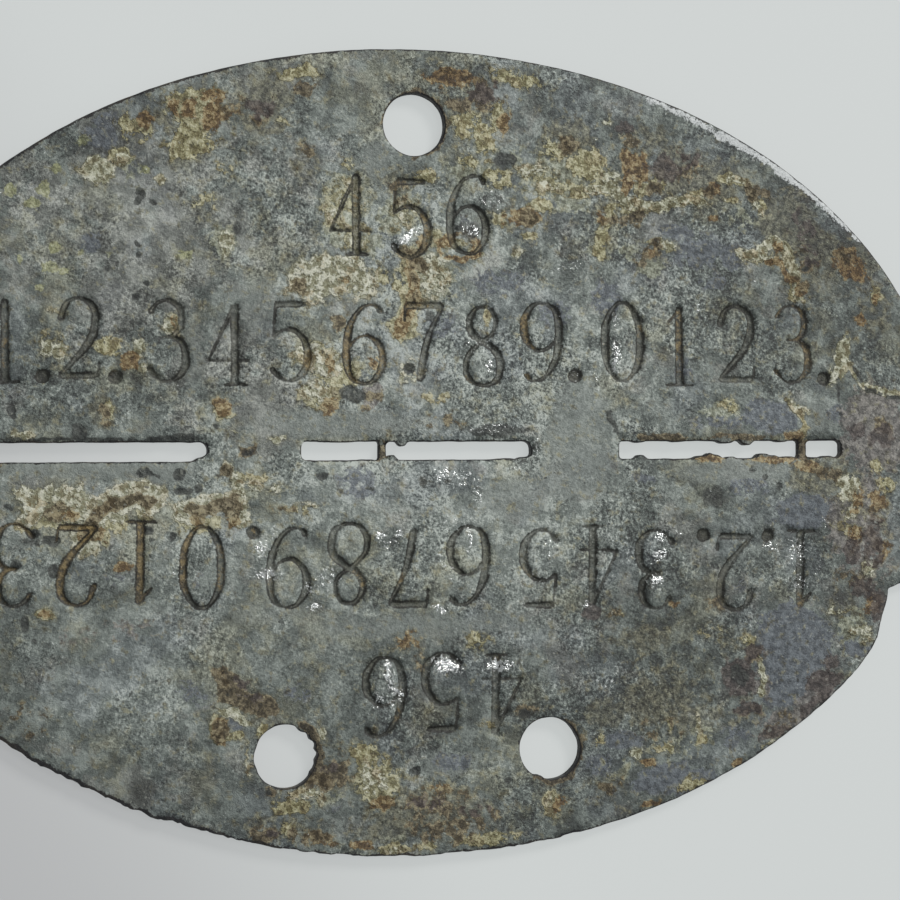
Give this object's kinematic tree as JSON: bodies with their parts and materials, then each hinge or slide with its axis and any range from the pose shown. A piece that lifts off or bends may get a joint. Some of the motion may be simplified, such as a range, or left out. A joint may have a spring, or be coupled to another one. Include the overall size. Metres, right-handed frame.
{
  "type": "identification dog tag",
  "caption": "Oval zinc identification tag, stamped with rows of plain digits in both halves, with a slotted break line across the middle and round cord holes near its edges.",
  "frame": {"origin": "middle of the back face, where the tag lies on a surface", "axes": "+X along the oval's length, +Y across it towards the single cord hole, +Z out of the stamped face"},
  "size_m": [0.07, 0.05, 0.001],
  "materials": {
    "zinc": "dull grey corroded zinc with stains, crust and rust-brown spots"
  },
  "bodies": {
    "root": {"tag_plate": "zinc"}
  },
  "joints": []
}
